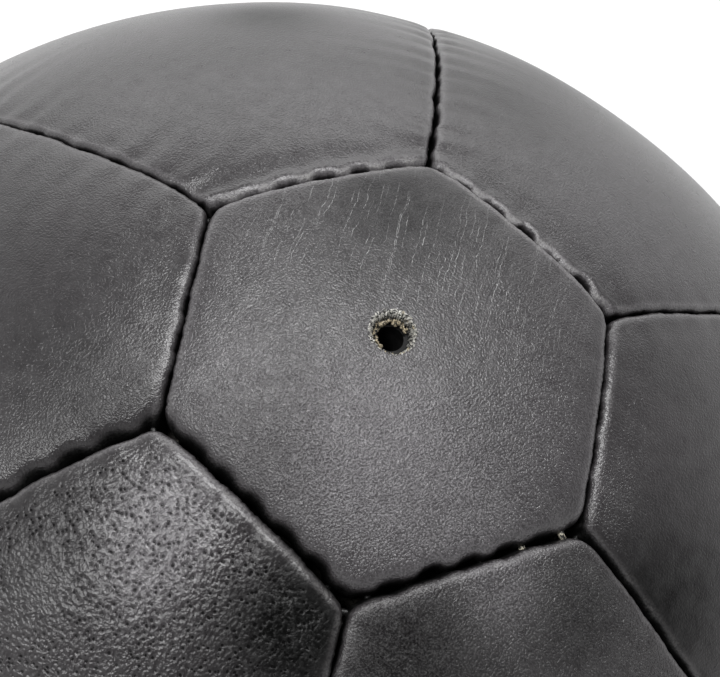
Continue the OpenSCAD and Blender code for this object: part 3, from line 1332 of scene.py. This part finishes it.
@dataclass
class SewingThread:
    """One length of waxed thread, zigzagging through both edges of its seams."""

    node: str
    seams: list[Seam]
    closed: bool
    cut: HandCut
    sides: int = 9
    step: float = 0.4
    crossing: float = 5.0
    raised: float = 2.7
    bow: float = 0.3
    plies: int = 3
    ply_turn: float = 2.4
    ply_depth: float = 0.13

    ACROSS = np.array([-1.0, -0.45, 0.0, 0.45, 1.0])
    BARE_AND_GLINT = np.array([0.0, 1.0, 1.0, 1.0, 0.0])
    UNEVEN, UNEVEN_SEED = (-0.25, 0.35), 90
    LOOSE, SMOOTHING, END_RADIUS = 2, 3, 1e-4

    def route(self) -> tuple[Array, Array]:
        """The middle line of the thread.

        Returns:
            Points in millimetres, evenly spaced, and how much pale bare cotton, also a painted glint, the
            thread shows at each.
        """
        marks, bare_and_glint = [], []
        sign = 1
        for seam in self.seams:
            rng = np.random.default_rng(seam.seed + self.UNEVEN_SEED)
            for number, place in enumerate(seam.places):
                loose = seam.kind is SeamKind.GAPING and number >= seam.stitches - self.LOOSE
                rise = (self.raised if loose else self.crossing) + rng.uniform(*self.UNEVEN)
                depth = [SIZES.thread_depth, rise + self.bow, rise, rise + self.bow, SIZES.thread_depth]
                across = self.ACROSS * SIZES.thread_side * sign
                marks.append(seam.point(np.full(5, place), across, np.array(depth)))
                bare_and_glint.append(self.BARE_AND_GLINT * loose)
                sign = -sign
        if self.closed:
            marks, bare_and_glint = marks + [marks[0][:1]], bare_and_glint + [bare_and_glint[0][:1]]
        marks, bare_and_glint = np.concatenate(marks), np.concatenate(bare_and_glint)
        reach = np.concatenate([[0], np.cumsum(np.linalg.norm(np.diff(marks, axis=0), axis=1))])
        at = np.linspace(0, reach[-1], int(reach[-1] / self.step) + 1)
        line = np.stack([np.interp(at, reach, marks[:, i]) for i in range(3)], 1)
        for _ in range(self.SMOOTHING):
            line[1:-1] = (line[:-2] + 2 * line[1:-1] + line[2:]) / 4
        return self.cut.apply(line), np.interp(at, reach, bare_and_glint)

    def build(self, finish: Material) -> Object:
        """Args:
            finish: the thread's material.

        Returns:
            The thread's object.
        """
        line, bare_and_glint = self.route()
        count = len(line)
        bm = bmesh.new()
        bmesh.ops.create_grid(bm, x_segments=count - 1, y_segments=self.sides, size=0.5)
        mesh = to_mesh(bm, f"{self.node}_strand")
        flat = places(mesh)
        number = np.rint((flat[:, 0] + 0.5) * (count - 1)).astype(int)
        turn = (flat[:, 1] + 0.5) * 2 * np.pi
        ahead = one_long(np.gradient(line, axis=0))
        side = one_long(np.cross(ahead, one_long(line)))
        top = np.cross(side, ahead)
        twist = self.plies * turn + number * self.step * self.ply_turn
        thick = SIZES.thread / 2 * (1 + self.ply_depth * np.cos(twist))
        if not self.closed:
            thick = np.where((number == 0) | (number == count - 1), self.END_RADIUS, thick)
        round_it = np.cos(turn)[:, None] * side[number] + np.sin(turn)[:, None] * top[number]
        move_to(mesh, line[number] + thick[:, None] * round_it)
        store(mesh, "pale", bare_and_glint[number])
        bm = bmesh.new()
        bm.from_mesh(mesh)
        bmesh.ops.remove_doubles(bm, verts=bm.verts, dist=2e-6)
        bmesh.ops.recalc_face_normals(bm, faces=bm.faces)
        bm.to_mesh(mesh)
        bm.free()
        shade_smooth(mesh)
        mesh.materials.append(finish)
        return declare(mesh, self.node)


# Layers under the leather


@dataclass
class InnerLayer:
    """A layer under the leather that follows the hand-cut pattern: a cloth lining or a felt half shell."""

    node: str
    slot: str
    cut: HandCut
    seams: SeamPattern
    stain_and_shade_reach: float = 8.0

    def build(self, finish: Material) -> Object:
        """Args:
            finish: the layer's material.

        Returns:
            The layer's object.
        """
        bm = bmesh.new()
        bm.from_mesh(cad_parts[self.node].data)
        bmesh.ops.remove_doubles(bm, verts=bm.verts, dist=1e-7)
        mesh = to_mesh(bm, f"{self.node}_layer")
        points = places(mesh).astype(float) / MM
        unit = one_long(points)
        stain_and_shade = np.zeros(len(unit))
        for seam in self.seams.every():
            s, across = seam.locate(unit)
            past = np.maximum(np.abs(s) - seam.half_length, 0.0)
            # Painted shade near the seams, partly a black wax stain.
            stain_and_shade = np.maximum(stain_and_shade, bell(np.hypot(across, past), self.stain_and_shade_reach))
        move_to(mesh, self.cut.apply(points))
        store(mesh, "stain_and_shade", stain_and_shade)
        mesh.materials.append(finish)
        return declare(mesh, self.node)


# Valve


@dataclass(frozen=True)
class CrumbRing:
    """Crumbs on a stretch around the hole: angles in degrees, sizes in millimetres, how golden they are."""

    start: float
    end: float
    reach: Pair
    height: Pair
    size: Pair
    count: int
    golden: float


@dataclass
class ValveMouth:
    """The crumbly cut fibres around the punched hole, above the rubber valve."""

    rings: tuple[CrumbRing, ...] = (
        CrumbRing(-100, 75, (3.5, 3.82), (124.55, 124.88), (0.08, 0.19), 120, 0.1),
        CrumbRing(-105, 80, (3.0, 3.5), (123.3, 124.4), (0.08, 0.20), 40, 0.2),
        CrumbRing(-115, 90, (2.2, 2.85), (122.75, 123.5), (0.14, 0.30), 120, 0.9),
        CrumbRing(165, 265, (3.2, 3.6), (123.3, 124.5), (0.10, 0.22), 48, 0.6),
        CrumbRing(80, 170, (3.42, 3.66), (124.2, 124.75), (0.06, 0.14), 60, 0.8),
    )
    seed: int = 5

    STRETCHES = ((0.6, 1.0), (1.0, 1.9), (0.5, 1.0))
    LEANS, TWIST = (-0.6, 0.6), 0.5

    def build(self, finish: Material) -> Object:
        """Make the crumbs of the cut edge.

        Args:
            finish: the crumbs' material.

        Returns:
            The crumbs' object.
        """
        rng = np.random.default_rng(self.seed)
        bm = bmesh.new()
        tone = bm.verts.layers.float.new("golden")
        for ring in self.rings:
            for _ in range(ring.count):
                made = bmesh.ops.create_icosphere(bm, subdivisions=1, radius=rng.uniform(*ring.size) * MM)
                shape = Matrix.Diagonal([rng.uniform(*span) for span in self.STRETCHES] + [1.0])
                lean = Matrix.Rotation(rng.uniform(*self.LEANS), 4, "X")
                lean = lean @ Matrix.Rotation(rng.normal(0, self.TWIST), 4, "Z")
                place = Vector((rng.uniform(*ring.reach), 0, rng.uniform(*ring.height))) * MM
                turn = Matrix.Rotation(math.radians(rng.uniform(ring.start, ring.end)), 4, "Z")
                move = turn @ Matrix.Translation(place) @ lean @ shape
                bmesh.ops.transform(bm, matrix=move, verts=made["verts"])
                for vert in made["verts"]:
                    vert[tone] = ring.golden
        mesh = to_mesh(bm, "valve_hole_crumbs")
        mesh.materials.append(finish)
        return declare(mesh)


# The whole ball


@dataclass
class MedicineBall:
    """The sewn cover, its thread, and the layers and valve inside it."""

    seams: SeamPattern = field(default_factory=SeamPattern)
    cut: HandCut = field(default_factory=HandCut)
    leather: Material = field(default_factory=LeatherFinish().material)
    cut_edge: Material = field(default_factory=RawEdgeFinish().material)

    # Bloom patches are painted light: painted highlights above nought, painted shades below it.
    VALVE_HIDE = HideLook(
        pebble=0.3, pores=0.10, grain=0.06, bloom_and_painted_light=0.10,
        pebble_patches=(Patch(13, 95, 15, 0.45), Patch(13, 150, 13, 0.4)),
        pore_patches=(Patch(11, 75, 13, 0.20),),
        grain_patches=(Patch(12, 150, 14, 0.6),),
        hairline_patches=(Patch(9, 262, 16, 1.0), Patch(11, 325, 14, 0.8), Patch(13, 352, 7, 0.55)),
        painted_light_patches=(
            Patch(14, 150, 13, 0.5), Patch(13, 50, 11, 0.3), Patch(13, 110, 9, 0.15),
            Patch(12, 195, 9, 0.2), Patch(8, 120, 12, 0.95), Patch(13, 310, 15, -0.7),
        ),
    )
    # These hides' bloom patches are painted highlights and painted shades as well.
    LONG_HIDES = (
        HideLook(
            pebble=0.18, pebble_patches=(Patch(20, 58, 11, 0.4),),
            painted_light_patches=(Patch(24, 20, 18, -0.15), Patch(23, 48, 9, -0.25)),
        ),
        HideLook(
            pebble=0.0, pores=0.9, pore_patches=(Patch(30, 74, 6, -0.55),),
            painted_light_patches=(
                Patch(21, 80, 9, 1.2), Patch(24, 84, 6, 0.4),
                Patch(21, 112, 14, -1.1), Patch(27, 66, 12, -0.35),
            ),
        ),
        HideLook(
            pebble=0.9, pores=0.2, grain=0.4,
            pebble_patches=(Patch(20, 131, 9, 0.6),), pore_patches=(Patch(20, 131, 8, 0.3),),
            painted_light_patches=(Patch(18.5, 156, 9, 0.85), Patch(23, 134, 16, -0.7), Patch(22, 166, 10, -0.6)),
        ),
        HideLook(
            pebble=0.2, pores=0.05, pebble_patches=(Patch(17, 187, 8, 0.6),),
            painted_light_patches=(Patch(16.5, 189, 6, 0.4), Patch(27, 185, 16, -0.8), Patch(25, 170, 12, -0.5)),
        ),
        HideLook(
            pebble=0.25, pores=0.14,
            painted_light_patches=(Patch(26, 262, 20, 0.25), Patch(43, 285, 14, -0.42), Patch(32, 288, 10, -0.3)),
        ),
        HideLook(pebble=0.15, pores=0.06, painted_light_patches=(Patch(22, 322, 18, 0.15), Patch(43, 322, 12, -0.8))),
    )
    CAP_SEEDS, LONG_SEED = (101, 102), 110
    BLADDER_RUBBER = RubberFinish("bladder_rubber", (0.045, 0.040, 0.038, 1), (0.09, 0.08, 0.075, 1), 0.6)
    VALVE_RUBBER = RubberFinish("valve_rubber", (0.006, 0.006, 0.006, 1), (0.014, 0.014, 0.014, 1), 0.5, 0.2)

    def cover(self) -> list[Object]:
        """Build the eight leather panels.

        Returns:
            The panels' objects.
        """
        valve, plain = ([(seam, 1) for seam in row] for row in (self.seams.valve, self.seams.plain))
        panels: list[LeatherPanel] = [
            EndPanel("valve_cap", valve, self.VALVE_HIDE, self.CAP_SEEDS[0], self.cut, 1, SIZES.hole_radius),
            EndPanel("plain_cap", plain, HideLook(), self.CAP_SEEDS[1], self.cut, -1),
        ]
        for k, hide in enumerate(self.LONG_HIDES):
            others = (self.seams.long[(k + 1) % 6], self.seams.valve[k], self.seams.plain[k])
            sides = [(self.seams.long[k], 1)] + [(seam, -1) for seam in others]
            turn = math.radians(60 * k)
            panels.append(LongPanel(f"gore_{k + 1}", sides, hide, self.LONG_SEED + k, self.cut, turn))
        return [panel.build([self.leather, self.cut_edge]) for panel in panels]

    def sewing(self) -> list[Object]:
        """Build the eight lengths of thread.

        Returns:
            The threads' objects.
        """
        finish = ThreadFinish().material()
        threads = [
            SewingThread("valve_cap_thread", self.seams.valve, True, self.cut),
            SewingThread("plain_cap_thread", self.seams.plain, True, self.cut),
        ]
        for k, seam in enumerate(self.seams.long, 1):
            threads.append(SewingThread(f"gore_thread_{k}", [seam], False, self.cut))
        return [thread.build(finish) for thread in threads]

    def inside(self) -> list[Object]:
        """Build the layers inside the cover, and dress the bladder and the valve.

        Returns:
            The layers, the dressed objects and the crumbs of the valve hole.
        """
        heavy, soft = self.BLADDER_RUBBER.material(), self.VALVE_RUBBER.material()
        linings = ["valve_cap_lining", "plain_cap_lining"] + [f"gore_lining_{k}" for k in range(1, 7)]
        kinds = (
            (linings, "lining", ClothFinish().material()),
            (["upper_wadding", "lower_wadding"], "wadding", FeltFinish().material()),
        )
        layers = [
            InnerLayer(name, slot, self.cut, self.seams).build(finish)
            for names, slot, finish in kinds
            for name in names
        ]
        for name, finish in (("bladder", heavy), ("valve_seat", soft), ("valve_core", soft)):
            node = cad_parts[name]
            node.data.materials.clear()
            node.data.materials.append(finish)
            layers.append(node)
        return layers + [ValveMouth().build(self.cut_edge)]


# Studio


@dataclass(frozen=True)
class Lamp:
    """A soft light panel, placed by the camera's right, up and towards directions, level with its right."""

    name: str
    place: Triple
    width: float
    height: float
    power: float


@dataclass
class Studio:
    """A pale floor, soft lights and the camera."""

    lens: float = 73.865
    sensor: float = 36.0
    near_clip: float = 0.01
    eye: Triple = (-0.03163012, 0.10182020, 0.31117700)
    right: Triple = (-0.75000872, -0.63282528, 0.19240345)
    down: Triple = (-0.64145112, 0.62495113, -0.44494555)
    ahead: Triple = (0.16133004, -0.45713045, -0.87464528)
    horizon: Pair = (0.3, 0.75)
    backdrop: float = 0.78
    ceiling: float = 0.03
    floor_colour: Colour = (0.8, 0.8, 0.8, 1)
    floor_size: float = 4.0
    floor_gap: float = 0.0005
    floor_glow: float = 0.25
    far_glow: float = 0.56
    far_floor: Pair = (600.0, 1800.0)
    lamps: tuple[Lamp, ...] = (
        Lamp("panel_above", (0.22, 0.84, 0.89), 0.85, 0.25, 9.9),
        Lamp("panel_left", (-0.43, 0.36, 1.10), 0.50, 0.28, 4.8),
        Lamp("panel_far", (0.10, 1.25, -0.13), 1.70, 0.42, 4.3),
    )

    def camera(self) -> None:
        """Place the camera at the measured viewpoint."""
        data = bpy.data.cameras.new("camera")
        data.lens, data.sensor_width, data.sensor_fit = self.lens, self.sensor, "HORIZONTAL"
        data.clip_start = self.near_clip
        eye = put("camera", data)
        axes = Matrix((self.right, tuple(-x for x in self.down), tuple(-x for x in self.ahead))).transposed()
        eye.matrix_world = Matrix.Translation(Vector(self.eye)) @ axes.to_4x4()
        bpy.context.scene.camera = eye

    def lights(self) -> None:
        """Place the lamps, facing the middle of the ball."""
        right, up, near = Vector(self.right), -Vector(self.down), -Vector(self.ahead)
        for lamp in self.lamps:
            data = bpy.data.lights.new(lamp.name, "AREA")
            data.shape, data.size, data.size_y, data.energy = "RECTANGLE", lamp.width, lamp.height, lamp.power
            spot = right * lamp.place[0] + up * lamp.place[1] + near * lamp.place[2]
            facing = spot.normalized()
            level = (right - facing * right.dot(facing)).normalized()
            axes = Matrix((level, facing.cross(level), facing)).transposed()
            put(lamp.name, data).matrix_world = Matrix.Translation(spot) @ axes.to_4x4()

    def world(self) -> None:
        """Set the world to a pale backdrop under a dimmer ceiling."""
        world = bpy.data.worlds.new("studio")
        bpy.context.scene.world = world
        world.use_nodes = True
        board = NodeBoard(world.node_tree)
        back = board.tree.nodes["Background"]
        rise = board.axis(board.add("ShaderNodeTexCoord", "Generated", {}), "Z")
        board.feed(back.inputs["Color"], WHITE)
        board.feed(back.inputs["Strength"], board.step(rise, *self.horizon, self.backdrop, self.ceiling))

    @staticmethod
    def shown(board: NodeBoard) -> Signal:
        """Tell the rays that show the floor from those that only carry light.

        Args:
            board: the floor's nodes.

        Returns:
            1 for camera, glossy and transmission rays, 0 for the others.
        """
        path = board.tree.nodes.new("ShaderNodeLightPath")
        rays = ("Is Camera Ray", "Is Glossy Ray", "Is Transmission Ray")
        seen, glossy, through = (Signal(board, path.outputs[name]) for name in rays)
        return seen.at_least(glossy).at_least(through)

    def floor(self) -> None:
        """Lay a pale floor under the ball, which keeps the ball's shadow and shows paler far away."""
        bm = bmesh.new()
        bmesh.ops.create_grid(bm, x_segments=1, y_segments=1, size=self.floor_size)
        bmesh.ops.translate(bm, vec=Vector((0, 0, -SIZES.radius * MM - self.floor_gap)), verts=bm.verts)
        mesh = to_mesh(bm, "floor")
        board = FinishBoard("floor_pale")
        glow = board.step(board.length(board.place()), *self.far_floor, self.floor_glow, self.far_glow)
        mesh.materials.append(board.dress(Base_Color=self.floor_colour, Roughness=0.9, Emission_Color=WHITE,
                                          Emission_Strength=self.shown(board) * glow))
        board.material.cycles.emission_sampling = "NONE"
        put("floor", mesh)

    def build(self) -> None:
        """Set up the whole studio."""
        bpy.context.scene.view_settings.view_transform = "Standard"
        self.camera()
        self.lights()
        self.world()
        self.floor()


def main() -> None:
    """Build and dress the ball, set up the studio, and report each piece."""
    logging.basicConfig(level=logging.INFO, format="%(message)s")
    Studio().build()
    ball = MedicineBall()
    for piece in ball.cover() + ball.sewing() + ball.inside():
        log.info("%s: %d faces, %s", piece.name, len(piece.data.polygons),
                 ", ".join(m.name for m in piece.data.materials))


if __name__ == "__main__":
    main()
